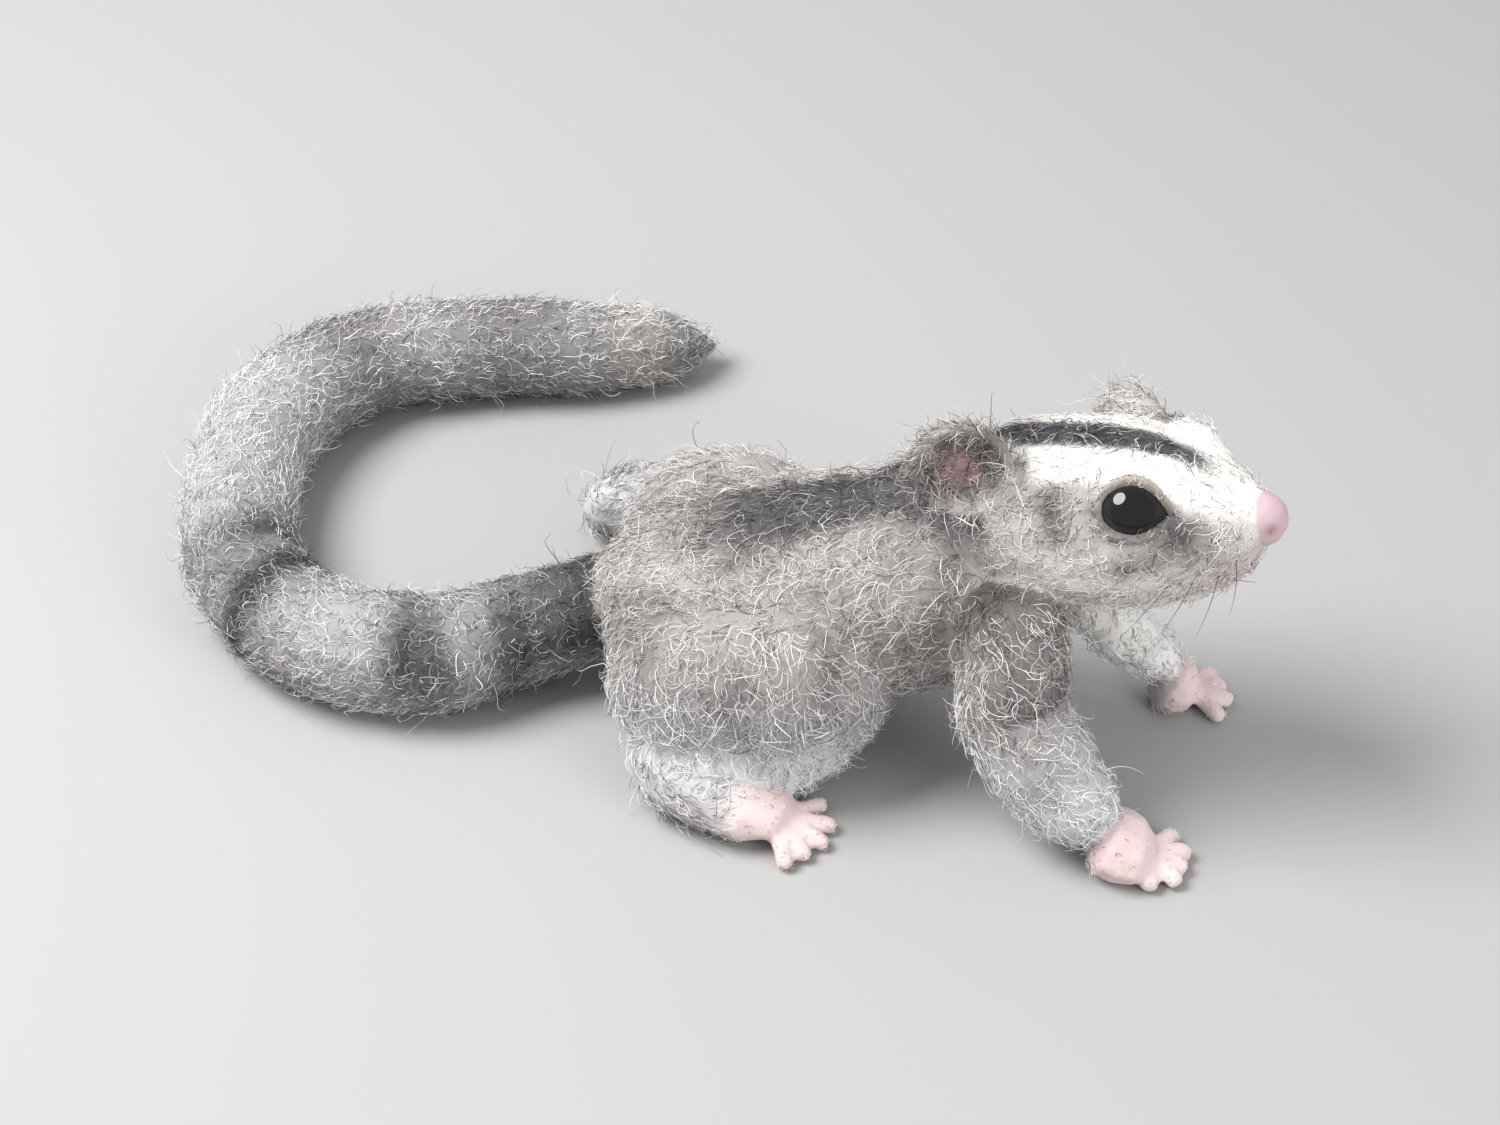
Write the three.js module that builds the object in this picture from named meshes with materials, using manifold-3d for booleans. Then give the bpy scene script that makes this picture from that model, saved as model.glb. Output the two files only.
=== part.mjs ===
// A needle-felted wool figure of a sugar glider: it props itself on its forelegs, looks ahead,
// sits on its folded hind legs and has its long tail laid on the ground in a wide hook.
// Units are millimetres. +X runs towards the nose, +Y to the animal's left side, +Z up.
// The ground is Z = 0 and the origin is the middle of the figure's outline on the ground.
import * as THREE from "three";
import { mergeVertices } from "three/addons/utils/BufferGeometryUtils.js";
import Module from "manifold-3d";

const wasm = await Module();
wasm.setup();

// Driving sizes
const GAP = 0.3; // clearance between neighbouring pieces
const EYE_DIAMETER = 8; // glass eye
const HEAD_LENGTH = 35.5; // nape to the front of the muzzle
const HEAD_WIDTH = 20.8;
const HEAD_DEPTH = 19; // crown to throat
const HEAD_TURN = -24; // degrees: the face turns a little to the animal's right
const HEAD_LIFT = 14.5; // degrees: the nose is held up
const HEAD_LEAN = -3; // degrees: the crown leans to the animal's left
const NOSE_WIDTH = 4.6;
const EAR_HEIGHT = 11; // base to tip
const EAR_BREADTH = 10;
const EAR_CUP = 3.6; // depth of the hollow
const EAR_WALL = 1.4;
const EAR_HOLLOW = 0.84; // breadth of the hollow as a share of the ear's
const EAR_STEPS = 5; // facets from the middle of the ear to its rim
const EAR_SIDES = 16;
const BROW_SIZE = 2.6; // half-thickness of the ridge over the far eye
const TOE_WIDTH = 1.8;
const TAIL_LENGTH = 139; // along its middle
const TAIL_ROUND = [0, 0.1]; // the tail is cut straight at the rump and rounded at its tip
const TAIL_JOIN = 0.01; // how far a finished length of tail keeps the next one off its sides
const GROUND_SIZE = 400;

const GREY = { color: 0xb9b3ae, roughness: 0.95, metalness: 0 };
const PINK = { color: 0xe8c6c2, roughness: 0.9, metalness: 0 };
const GLASS = { color: 0x0b0a0a, roughness: 0.06, metalness: 0 };

const UP = new THREE.Vector3(0, 0, 1);
const radians = THREE.MathUtils.degToRad;

// A station of a body part: its middle, its half-width, and its reach up and down from the middle.
function station(x, y, z, side, up, down = up) {
  return { middle: new THREE.Vector3(x, y, z), reach: new THREE.Vector3(side, up, down) };
}

// The smooth line through a list of stations, t from 0 to 1.
function lineThrough(stations) {
  const middles = new THREE.CatmullRomCurve3(stations.map((s) => s.middle), false, "centripetal");
  const reaches = new THREE.CatmullRomCurve3(stations.map((s) => s.reach), false, "centripetal");
  return (t) => ({ middle: middles.getPoint(t), tangent: middles.getTangent(t), reach: reaches.getPoint(t) });
}

// A closed form of oval rings along the stations from one share of the line to another.
// An end is rounded over its share of the line, or cut straight where that share is 0.
// grow makes the form larger on all sides.
function limb(stations, { rings = 9, sides = 12, from = 0, to = 1, round = [0.25, 0.25], grow = 0 } = {}) {
  const at = lineThrough(stations);
  const points = [];
  for (let ring = 0; ring <= rings; ring++) {
    const share = round[0] || round[1] ? (1 - Math.cos((Math.PI * ring) / rings)) / 2 : ring / rings;
    const t = from + (to - from) * share;
    const { middle, tangent, reach } = at(t);
    const first = round[0] ? Math.min(1, t / round[0]) : 1;
    const last = round[1] ? Math.min(1, (1 - t) / round[1]) : 1;
    const swell = Math.sqrt(1 - (1 - first) ** 2) * Math.sqrt(1 - (1 - last) ** 2);
    const side = new THREE.Vector3().crossVectors(UP, tangent).normalize();
    const over = new THREE.Vector3().crossVectors(tangent, side).normalize();
    if (ring === 0) points.push(middle.clone().addScaledVector(tangent, -grow));
    if (swell > 0.02) {
      for (let i = 0; i < sides; i++) {
        const angle = (2 * Math.PI * i) / sides;
        const height = Math.sin(angle) > 0 ? reach.y : reach.z;
        const across = Math.cos(angle) * (reach.x * swell + grow);
        const above = Math.sin(angle) * (height * swell + grow);
        points.push(middle.clone().addScaledVector(side, across).addScaledVector(over, above));
      }
    }
    if (ring === rings) points.push(middle.clone().addScaledVector(tangent, grow));
  }
  return closedRings(points, sides);
}

// Joins a first pole, rings of points and a last pole into a closed geometry.
function closedRings(points, sides) {
  const count = (points.length - 2) / sides;
  const last = points.length - 1;
  const at = (ring, i) => 1 + ring * sides + (i % sides);
  const faces = [];
  for (let i = 0; i < sides; i++) {
    faces.push(0, at(0, i + 1), at(0, i));
    faces.push(last, at(count - 1, i), at(count - 1, i + 1));
    for (let ring = 0; ring < count - 1; ring++) {
      faces.push(at(ring, i), at(ring, i + 1), at(ring + 1, i + 1));
      faces.push(at(ring, i), at(ring + 1, i + 1), at(ring + 1, i));
    }
  }
  return new THREE.BufferGeometry().setFromPoints(points).setIndex(faces);
}

// A geometry as a solid that can be joined and cut.
function solid(geometry) {
  const bare = geometry.clone();
  bare.deleteAttribute("normal");
  bare.deleteAttribute("uv");
  const merged = mergeVertices(bare, 1e-4);
  return new wasm.Manifold(
    new wasm.Mesh({
      numProp: 3,
      vertProperties: new Float32Array(merged.attributes.position.array),
      triVerts: new Uint32Array(merged.index.array),
    }),
  );
}

function geometryOf(shape) {
  const { vertProperties, triVerts } = shape.getMesh();
  const geometry = new THREE.BufferGeometry();
  geometry.setAttribute("position", new THREE.BufferAttribute(new Float32Array(vertProperties), 3));
  geometry.setIndex(new THREE.BufferAttribute(new Uint32Array(triVerts), 1));
  return geometry;
}

// The largest body of a solid, without the slivers that a cut can leave.
function largest(shape) {
  return shape.decompose().reduce((best, body) => (body.volume() > best.volume() ? body : best));
}

function joined(shapes) {
  return shapes.reduce((whole, shape) => whole.add(shape));
}

function ball(radii, place, wide = 16, high = 10) {
  return new THREE.SphereGeometry(1, wide, high)
    .rotateX(Math.PI / 2)
    .scale(...radii)
    .translate(...place);
}

const glider = new THREE.Group();
const aboveGround = solid(
  new THREE.BoxGeometry(GROUND_SIZE, GROUND_SIZE, GROUND_SIZE).translate(0, 0, GROUND_SIZE / 2),
);

// Everything on the far side of a straight cut, along its heading.
function beyond({ place, heading }) {
  const turn = new THREE.Quaternion().setFromUnitVectors(UP, heading.clone().normalize());
  const box = new THREE.BoxGeometry(GROUND_SIZE, GROUND_SIZE, GROUND_SIZE).translate(0, 0, GROUND_SIZE / 2);
  return solid(box.applyQuaternion(turn).translate(...place));
}

let taken = null; // the space of the pieces made so far, with their clearance

// Adds a piece clear of those before it. makeShape takes how much to grow the form.
function addPiece(name, finish, makeShape) {
  let shape = makeShape(0).intersect(aboveGround);
  if (taken) shape = shape.subtract(taken);
  const zone = makeShape(GAP);
  taken = taken ? taken.add(zone) : zone;
  const mesh = new THREE.Mesh(geometryOf(largest(shape)), new THREE.MeshStandardMaterial(finish));
  mesh.name = name;
  glider.add(mesh);
}

// Head, in its own frame: the nape is the origin and +X runs to the nose.
const NAPE = new THREE.Vector3(20.5, -23.5, 28.2);
const HEAD = [
  station(0, 0, -1, HEAD_WIDTH * 0.32, HEAD_DEPTH * 0.34, HEAD_DEPTH * 0.36),
  station(HEAD_LENGTH * 0.2, 0, 0, HEAD_WIDTH * 0.46, HEAD_DEPTH * 0.45, HEAD_DEPTH * 0.46),
  station(HEAD_LENGTH * 0.4, 0, 0, HEAD_WIDTH * 0.5, HEAD_DEPTH * 0.49, HEAD_DEPTH * 0.49),
  station(HEAD_LENGTH * 0.6, 0, 0, HEAD_WIDTH * 0.52, HEAD_DEPTH * 0.49, HEAD_DEPTH * 0.5),
  station(HEAD_LENGTH * 0.78, 0, 0, HEAD_WIDTH * 0.42, HEAD_DEPTH * 0.4, HEAD_DEPTH * 0.46),
  station(HEAD_LENGTH * 0.9, 0, 0, HEAD_WIDTH * 0.27, HEAD_DEPTH * 0.24, HEAD_DEPTH * 0.37),
  station(HEAD_LENGTH, 0, -0.3, HEAD_WIDTH * 0.17, HEAD_DEPTH * 0.12, HEAD_DEPTH * 0.27),
];
const EYES = {
  right: [HEAD_LENGTH * 0.672, -HEAD_WIDTH * 0.3, HEAD_DEPTH * 0.21],
  left: [HEAD_LENGTH * 0.672, HEAD_WIDTH * 0.27, HEAD_DEPTH * 0.15],
};

// The ridge of wool over the far eye, which makes the head's outline on that side
const brow = (along, across, above) =>
  station(HEAD_LENGTH * along, HEAD_WIDTH * across, HEAD_DEPTH * above, BROW_SIZE, BROW_SIZE);
const FAR_BROW = [brow(0.6, 0.23, 0.24), brow(0.735, 0.21, 0.3), brow(0.78, 0.2, 0.29), brow(0.84, 0.19, 0.14)];
const NOSE_PLACE = [HEAD_LENGTH - 0.8, 0, 0];

const headPlace = new THREE.Matrix4().compose(
  NAPE,
  new THREE.Quaternion().setFromEuler(
    new THREE.Euler(radians(HEAD_LEAN), radians(-HEAD_LIFT), radians(HEAD_TURN), "ZYX"),
  ),
  new THREE.Vector3(1, 1, 1),
);

function onHead(geometry) {
  return solid(geometry.applyMatrix4(headPlace));
}

// An ear is a cupped dish: its base is the origin, its tip is at +Z and its hollow faces +X.
function earGeometry(grow) {
  const outer = [];
  const inner = [];
  for (let i = 0; i <= EAR_STEPS; i++) {
    const angle = (Math.PI / 2) * (i / EAR_STEPS);
    outer.push(new THREE.Vector2(Math.sin(angle), -Math.cos(angle) * EAR_CUP));
    inner.push(new THREE.Vector2(Math.sin(angle) * EAR_HOLLOW, -Math.cos(angle) * (EAR_CUP - EAR_WALL)));
  }
  const profile = [...outer, ...inner.reverse()];
  return new THREE.LatheGeometry(profile, EAR_SIDES)
    .rotateZ(-Math.PI / 2)
    .scale(1, EAR_BREADTH / 2 + grow, EAR_HEIGHT / 2 + grow)
    .translate(0, 0, EAR_HEIGHT / 2);
}

// Where an ear stands on the head, and how its hollow is turned and leaned.
const EARS = {
  right: { place: [HEAD_LENGTH * 0.31, -HEAD_WIDTH * 0.35, HEAD_DEPTH * 0.3], turn: -60, lean: 45 },
  left: { place: [HEAD_LENGTH * 0.46, HEAD_WIDTH * 0.5, HEAD_DEPTH * -0.03], turn: 68, lean: 38 },
};

function earShape({ place, turn, lean }, grow) {
  const pose = new THREE.Matrix4().makeRotationFromEuler(
    new THREE.Euler(radians(lean), 0, radians(turn), "ZYX"),
  );
  return onHead(earGeometry(grow).applyMatrix4(pose).translate(...place));
}

const SIDES = { right: -1, left: 1 };
for (const [side, place] of Object.entries(EYES)) {
  addPiece("eye_" + side, GLASS, (grow) => onHead(ball(Array(3).fill(EYE_DIAMETER / 2 + grow), place)));
}
addPiece("nose", PINK, (grow) => onHead(ball(Array(3).fill(NOSE_WIDTH / 2 + grow), NOSE_PLACE, 12, 8)));
addPiece("head", GREY, (grow) =>
  onHead(limb(HEAD, { rings: 13, sides: 18, round: [0.2, 0.12], grow })).add(
    onHead(limb(FAR_BROW, { rings: 5, sides: 8, round: [0.3, 0.3], grow })),
  ),
);
for (const side of Object.keys(SIDES)) {
  addPiece("ear_" + side, GREY, (grow) => earShape(EARS[side], grow));
}

// Neck and trunk: low at the rump, high at the chest
const NECK = [
  station(13, -24.5, 20, 9, 9, 9),
  station(19, -26.5, 24.5, 10.5, 9.5, 11),
  station(26, -28, 28.5, 9.5, 8, 10),
];
const TRUNK = [
  station(-17.5, -17.5, 9.5, 6, 5.5, 5.5),
  station(-9, -18.8, 12.5, 11.5, 8.5, 9),
  station(2, -21.5, 15.5, 13, 10, 10.5),
  station(13, -25, 18.8, 12.6, 11, 11.5),
  station(23, -28.5, 22, 11.5, 10.5, 12),
  station(31, -30.5, 24, 8, 8, 9),
];
const NECK_CUT = { place: new THREE.Vector3(17, -26, 26), heading: new THREE.Vector3(0.8, -0.2, 0.6) };
const body = (grow) =>
  solid(limb(NECK, { rings: 9, sides: 18, round: [0.4, 0.4], grow })).add(
    solid(limb(TRUNK, { rings: 11, sides: 18, round: [0.22, 0.3], grow })),
  );
addPiece("neck", GREY, (grow) => body(grow).intersect(beyond(NECK_CUT)));
addPiece("trunk", GREY, body);

// Legs, from the body out to the paw
const LEGS = {
  right: {
    thigh: [station(-15, -31.5, 11.4, 6, 7.4), station(-2, -35, 12.4, 8, 10.2), station(15, -36, 12, 5.5, 7.6)],
    shank: [station(12, -36, 6.6, 4, 4.6), station(-2, -38.2, 6.2, 5.4, 5.2), station(-12.6, -35.6, 6.6, 4.6, 5.6)],
    hindfoot: [station(-11.4, -36.6, 4.6, 4.4, 4.4), station(-4.6, -41.2, 3.8, 4.8, 3.8), station(4.6, -44.8, 2.2, 5, 2.4)],
    upper_arm: [station(26, -35, 27, 5.5, 7), station(27, -39, 20.5, 5.8, 6.5), station(26.6, -42, 13.6, 6, 6)],
    forearm: [station(25.6, -41.4, 15.6, 5.8, 6.2), station(31, -45, 9, 5.2, 5.4), station(37.1, -48.8, 4.6, 4.2, 4.2)],
    forepaw: [station(35.6, -48.4, 4, 4.1, 3.6), station(38.6, -49, 2.7, 4.6, 3.1), station(42, -49.4, 1.8, 4, 2.3)],
  },
  left: {
    thigh: [station(-13, -7, 10.8, 5, 7), station(-2, -8.5, 12.2, 8, 9.4), station(9, -10, 12, 5.5, 8)],
    shank: [station(9, -6, 6.6, 4, 4.6), station(-5, -1, 6, 5, 5), station(-14, 2.5, 5, 4.5, 4.8)],
    hindfoot: [station(-19.3, 4.5, 4.2, 3.8, 4), station(-10, 6.5, 3.8, 4.4, 3.8), station(0, 8.5, 2.2, 4.8, 2.4)],
    upper_arm: [station(30, -22.5, 25, 4.8, 6.2), station(34, -24, 19, 4.4, 5), station(38, -27, 14, 3.7, 4)],
    forearm: [station(37.2, -27, 15, 3.6, 4), station(41.6, -24.8, 10, 3.2, 3.3), station(45.8, -23.6, 5, 2.8, 2.9)],
    forepaw: [station(44.6, -23.6, 4, 3.2, 3.4), station(46.6, -23.6, 2.7, 3.4, 3.2), station(48.6, -23.4, 1.8, 3, 2.4)],
  },
};

// Toes: how far each turns from the paw's own direction in degrees, and its reach from the paw's end
const TOES = {
  hindfoot: [[-60, 6.5], [-36, 6], [-8, 6.2], [20, 6.4], [54, 6.4]],
  forepaw: [[-84, 4.3], [-42, 4.6], [-10, 4.2], [22, 4.8], [58, 5.2]],
};

function toe(root, heading, length, grow) {
  const along = (distance, height) =>
    station(
      root.x + Math.cos(heading) * distance,
      root.y + Math.sin(heading) * distance,
      height,
      TOE_WIDTH / 2,
      TOE_WIDTH / 2,
    );
  const line = [along(-TOE_WIDTH, 1.6), along(length * 0.6, 1.4), along(length, 0.7)];
  return solid(limb(line, { rings: 5, sides: 6, round: [0.2, 0.14], grow }));
}

// A paw and its toes in one piece.
function paw(stations, toes, sign, grow) {
  const end = stations[2].middle.clone().lerp(stations[1].middle, 0.2);
  const before = stations[1].middle;
  const heading = Math.atan2(end.y - before.y, end.x - before.x);
  const shapes = toes.map(([turn, length]) => toe(end, heading - sign * radians(turn), length, grow));
  return joined([solid(limb(stations, { rings: 6, sides: 10, round: [0.3, 0.3], grow })), ...shapes]);
}

// The upper arm and forearm are one form, parted at the elbow.
function arm({ upper_arm: upper, forearm }, grow) {
  return solid(limb(upper, { grow })).add(solid(limb(forearm, { grow })));
}

function elbow({ upper_arm: upper, forearm }) {
  const heading = upper[1].middle.clone().sub(forearm[1].middle).normalize();
  return { place: upper[2].middle.clone().lerp(forearm[0].middle, 0.5), heading };
}

for (const [side, sign] of Object.entries(SIDES)) {
  const leg = LEGS[side];
  addPiece("thigh_" + side, GREY, (grow) => solid(limb(leg.thigh, { grow })));
  addPiece("shank_" + side, GREY, (grow) => solid(limb(leg.shank, { grow })));
  addPiece("hindfoot_" + side, PINK, (grow) => paw(leg.hindfoot, TOES.hindfoot, sign, grow));
  addPiece("upper_arm_" + side, GREY, (grow) => arm(leg, grow).intersect(beyond(elbow(leg))));
  addPiece("forearm_" + side, GREY, (grow) => arm(leg, grow));
  addPiece("forepaw_" + side, PINK, (grow) => paw(leg.forepaw, TOES.forepaw, sign, grow));
}

// Tail: a hook on the ground, from the rump back, round and forward to its tip
const TAIL = [
  station(-14, -17, 9, 5.8, 5.8),
  station(-25, -19.5, 6.8, 6, 6),
  station(-35, -23, 6.4, 6.9, 6.7),
  station(-46.5, -20.5, 6.4, 6.9, 6.7),
  station(-55.5, -10.5, 6.4, 6.9, 6.7),
  station(-58.5, 4.5, 6.4, 6.9, 6.7),
  station(-55.5, 20.5, 6.4, 6.9, 6.7),
  station(-46, 30.5, 6.2, 6.5, 6.4),
  station(-33, 33.5, 5.9, 6.2, 6.1),
  station(-20, 34.2, 5.5, 5.8, 5.7),
  station(-10.5, 35.8, 4.6, 4.4, 4.7),
  station(-3.6, 38.3, 2.6, 1.2, 1.6),
];
const TAIL_PARTS = ["root", "inner", "turn", "bend", "outer", "far", "tip"];
TAIL_PARTS.forEach((part, i) => {
  const from = i / TAIL_PARTS.length;
  const to = (i + 1) / TAIL_PARTS.length - (i < TAIL_PARTS.length - 1 ? GAP / TAIL_LENGTH : 0);
  const rings = part === "tip" ? 10 : 6;
  addPiece("tail_" + part, GREY, (grow) => {
    if (grow) return solid(limb(TAIL, { rings: 4, sides: 12, from, to, round: TAIL_ROUND, grow: TAIL_JOIN }));
    return solid(limb(TAIL, { rings, sides: 12, from, to, round: TAIL_ROUND }));
  });
});

// The middle of the figure's outline on the ground becomes the origin.
const outline = new THREE.Box3().setFromObject(glider);
const middle = outline.getCenter(new THREE.Vector3());
glider.position.set(-middle.x, -middle.y, -outline.min.z);

export default glider;
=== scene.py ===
# A needle-felted wool figure of a sugar glider: one felted skin with its eyes and nose set in it,
# and a coat of fine curled wool fibres over it. Lengths are metres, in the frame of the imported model.
import math

import bmesh
import bpy
import numpy as np
from mathutils import Euler, Matrix, Vector
from mathutils.bvhtree import BVHTree


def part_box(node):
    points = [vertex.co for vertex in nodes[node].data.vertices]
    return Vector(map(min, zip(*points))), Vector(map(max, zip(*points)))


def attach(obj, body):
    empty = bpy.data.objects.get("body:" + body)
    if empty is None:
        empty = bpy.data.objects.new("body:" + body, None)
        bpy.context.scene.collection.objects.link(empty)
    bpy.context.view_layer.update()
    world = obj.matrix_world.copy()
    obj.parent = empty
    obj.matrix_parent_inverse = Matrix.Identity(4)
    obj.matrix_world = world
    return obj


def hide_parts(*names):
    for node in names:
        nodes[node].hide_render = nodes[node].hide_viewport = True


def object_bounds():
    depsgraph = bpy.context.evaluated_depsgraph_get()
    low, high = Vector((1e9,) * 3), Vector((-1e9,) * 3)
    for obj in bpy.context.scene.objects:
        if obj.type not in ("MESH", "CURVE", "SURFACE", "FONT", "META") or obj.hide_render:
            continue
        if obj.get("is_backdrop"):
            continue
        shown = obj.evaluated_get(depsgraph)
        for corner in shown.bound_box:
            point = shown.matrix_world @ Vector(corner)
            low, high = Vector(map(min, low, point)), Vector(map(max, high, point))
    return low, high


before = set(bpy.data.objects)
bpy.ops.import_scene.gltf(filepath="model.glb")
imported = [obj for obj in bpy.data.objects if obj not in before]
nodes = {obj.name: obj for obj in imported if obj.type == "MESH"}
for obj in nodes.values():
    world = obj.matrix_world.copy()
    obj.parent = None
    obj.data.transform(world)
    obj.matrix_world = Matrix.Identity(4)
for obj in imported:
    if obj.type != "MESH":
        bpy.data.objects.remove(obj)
cad_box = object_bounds()
MM = 0.001

# Driving sizes
EYE_RADIUS = 4.0 * MM
HEAD_LENGTH = 35.5 * MM
HEAD_WIDTH = 20.8 * MM
HEAD_DEPTH = 19.0 * MM
HEAD_TURN = -24
HEAD_LIFT = 14.5
HEAD_LEAN = -3
GROW = 0.17 * MM  # closes the cuts between the nodes
VOXEL = 0.38 * MM

NAPE = np.array([20.5, -23.5, 28.2]) * MM
EYE_PLACE = {
    "right": np.array([0.672 * HEAD_LENGTH, -0.3 * HEAD_WIDTH, 0.21 * HEAD_DEPTH]),
    "left": np.array([0.672 * HEAD_LENGTH, 0.27 * HEAD_WIDTH, 0.15 * HEAD_DEPTH]),
}
NOSE_TIP = np.array([HEAD_LENGTH - 0.8 * MM, 0, 0])

# The sizes are drawn in a frame of their own. The near eye's box says where that lies in the row frame.
HEAD_TURNS = Euler((math.radians(HEAD_LEAN), math.radians(-HEAD_LIFT), math.radians(HEAD_TURN)), "XYZ")
HEAD_AXES = np.array(HEAD_TURNS.to_matrix())
OFFSET = np.mean(np.array(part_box("eye_right")), axis=0) - (NAPE + HEAD_AXES @ EYE_PLACE["right"])
HEAD_POSE = Matrix.Translation(Vector(NAPE + OFFSET)) @ HEAD_TURNS.to_matrix().to_4x4()
HEAD_MATRIX = np.array(HEAD_POSE)
HEAD_INVERSE = np.linalg.inv(HEAD_MATRIX)


def place(x, y, z):
    return np.array([x, y, z], float) * MM + OFFSET


GAZE = {"right": np.array([0.38, -0.75, 0.54]), "left": np.array([0.36, 0.90, 0.16])}
GAZE = {side: ray / np.linalg.norm(ray) for side, ray in GAZE.items()}

# The opening of the lids, as shares of the eye's radius: behind, before, above and below its middle
LID_BACK = 0.78
LID_FRONT = 0.88
LID_TOP = 0.63
LID_BOTTOM = 0.57

NOSTRILS = [NOSE_TIP + np.array([1.6, side * 1.75, -0.2]) * MM for side in (-1, 1)]
NOSE_TINT = np.array([0.80, 0.78, 0.83])

# Ears as on the solids: place on the head, then turn and lean in degrees
EAR_RADII = np.array([5.0, 5.5]) * MM
EAR_MIDDLE_DEPTH = 2.9 * MM
EARS = {
    "right": ((0.31 * HEAD_LENGTH, -0.35 * HEAD_WIDTH, 0.3 * HEAD_DEPTH), -60, 45),
    "left": ((0.46 * HEAD_LENGTH, 0.5 * HEAD_WIDTH, -0.03 * HEAD_DEPTH), 68, 38),
}

# Paws from the heel or wrist to the toes, and the shares of that length over which the wool ends
PAWS = {
    "hindfoot_right": ((-11.4, -36.6), (4.6, -44.8), 0.58, 0.76),
    "hindfoot_left": ((-19.3, 4.5), (0, 8.5), 0.58, 0.76),
    "forepaw_right": ((33.5, -47.0), (42, -49.4), 0.12, 0.5),
    "forepaw_left": ((43.4, -24.0), (48.6, -23.4), 0.05, 0.5),
}

# Wool colours, in linear light
SHADES = {
    "white": (0.79, 0.765, 0.72),
    "cream": (0.66, 0.58, 0.48),
    "light_grey": (0.61, 0.565, 0.54),
    "grey": (0.34, 0.31, 0.295),
    "charcoal": (0.065, 0.064, 0.070),
    "slate": (0.020, 0.021, 0.026),
    "beige": (0.46, 0.38, 0.32),
    "pale_blue": (0.69, 0.695, 0.71),
    "pink": (0.60, 0.44, 0.44),
    "mauve": (0.60, 0.42, 0.44),
    "ear_brown": (0.27, 0.20, 0.195),
    "ear_pink": (0.52, 0.31, 0.31),
    "nostril": (0.30, 0.15, 0.15),
    "brown_grey": (0.105, 0.088, 0.085),
}
SHADES = {name: np.array(value) for name, value in SHADES.items()}

# Shares of the tail's length where its dark bands lie
TAIL_BANDS = (0.10, 0.17, 0.30, 0.36)
TAIL_BAND_REACH = 0.022
TAIL_TINT = np.array([0.96, 0.99, 1.03])  # the tail's wool is a cooler grey

FLESH = [name for name in nodes if not name.startswith("eye_")]
BODY_LINE = {
    "trunk": [(-17.5, -17.5), (-9, -18.8), (2, -21.5), (13, -25), (23, -28.5), (31, -30.5)],
    "tail": [
        (-14, -17), (-25, -19.5), (-35, -23), (-46.5, -20.5), (-55.5, -10.5), (-58.5, 4.5),
        (-55.5, 20.5), (-46, 30.5), (-33, 33.5), (-20, 34.2), (-10.5, 35.8), (-3.6, 38.3),
    ],
}


# Smooth helpers for the markings
def fade(value, low, high):
    t = np.clip((value - low) / (high - low), 0, 1)
    return t * t * (3 - 2 * t)


def between(value, low, high, soft):
    return fade(value, low - soft, low + soft) * (1 - fade(value, high - soft, high + soft))


def blend(colour, other, amount):
    amount = np.broadcast_to(amount, len(colour))[:, None]
    return colour * (1 - amount) + other * amount


def ripple(points, scale, seed=0):
    """A smooth value about 0 that varies over the surface, from crossed waves."""
    rng = np.random.default_rng(seed)
    total = np.zeros(len(points))
    for _ in range(5):
        direction = rng.normal(size=3)
        direction /= np.linalg.norm(direction)
        total += np.sin(points @ direction / (scale * rng.uniform(0.6, 1.5)) + rng.uniform(0, 6.28))
    return total / 5


def on_head(points):
    return points @ HEAD_INVERSE[:3, :3].T + HEAD_INVERSE[:3, 3]


def along_line(points, name):
    """How far along a body line each point is, from 0 to 1, its side distance and the line's heading."""
    line = np.array([place(x, y, 0)[:2] for x, y in BODY_LINE[name]])
    steps = np.diff(line, axis=0)
    lengths = np.linalg.norm(steps, axis=1)
    starts = np.concatenate([[0], np.cumsum(lengths)])
    best = np.full(len(points), 1e9)
    share = np.zeros(len(points))
    side = np.zeros(len(points))
    heading = np.zeros((len(points), 3))
    for i, step in enumerate(steps):
        unit = step / lengths[i]
        rel = points[:, :2] - line[i]
        t = np.clip(rel @ unit, 0, lengths[i])
        off = rel - t[:, None] * unit
        distance = np.linalg.norm(off, axis=1)
        near = distance < best
        best[near] = distance[near]
        share[near] = (starts[i] + t[near]) / starts[-1]
        side[near] = (rel @ np.array([-unit[1], unit[0]]))[near]
        heading[near] = np.array([unit[0], unit[1], 0])
    return share, side, heading


# Markings: the colour of the wool at points of one part
def lid_margin(points, side):
    """How far inside the lid opening in metres (below 0 on the lids), how far from the eye's middle,
    and how high above it as a share."""
    rel = on_head(points) - EYE_PLACE[side]
    distance = np.maximum(np.linalg.norm(rel, axis=1), 1e-9)
    ray = rel / distance[:, None]
    gaze = GAZE[side]
    ahead = np.array([1.0, 0, 0]) - gaze[0] * gaze
    ahead /= np.linalg.norm(ahead)
    above = np.cross(gaze, ahead)
    above *= np.sign(above[2])
    u = ray @ ahead
    v = ray @ above
    behind = np.sqrt(np.clip(1 - (u / LID_BACK) ** 2, 0, 1))
    before = np.clip(1 - np.abs(u / LID_FRONT) ** 1.9, 0, 1)
    reach = np.where(v > 0, LID_TOP, LID_BOTTOM) * np.where(u < 0, behind, before)
    past = np.maximum(np.where(u < 0, -u - LID_BACK, u - LID_FRONT), 0)
    margin = (reach - np.abs(v) - past) * EYE_RADIUS
    margin = np.where(ray @ gaze > 0, margin, -EYE_RADIUS)
    return margin, distance, v


def spot(x, z, middle, reach):
    return np.exp(-(((x - middle[0]) / reach[0]) ** 2 + ((z - middle[1]) / reach[1]) ** 2))


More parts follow.
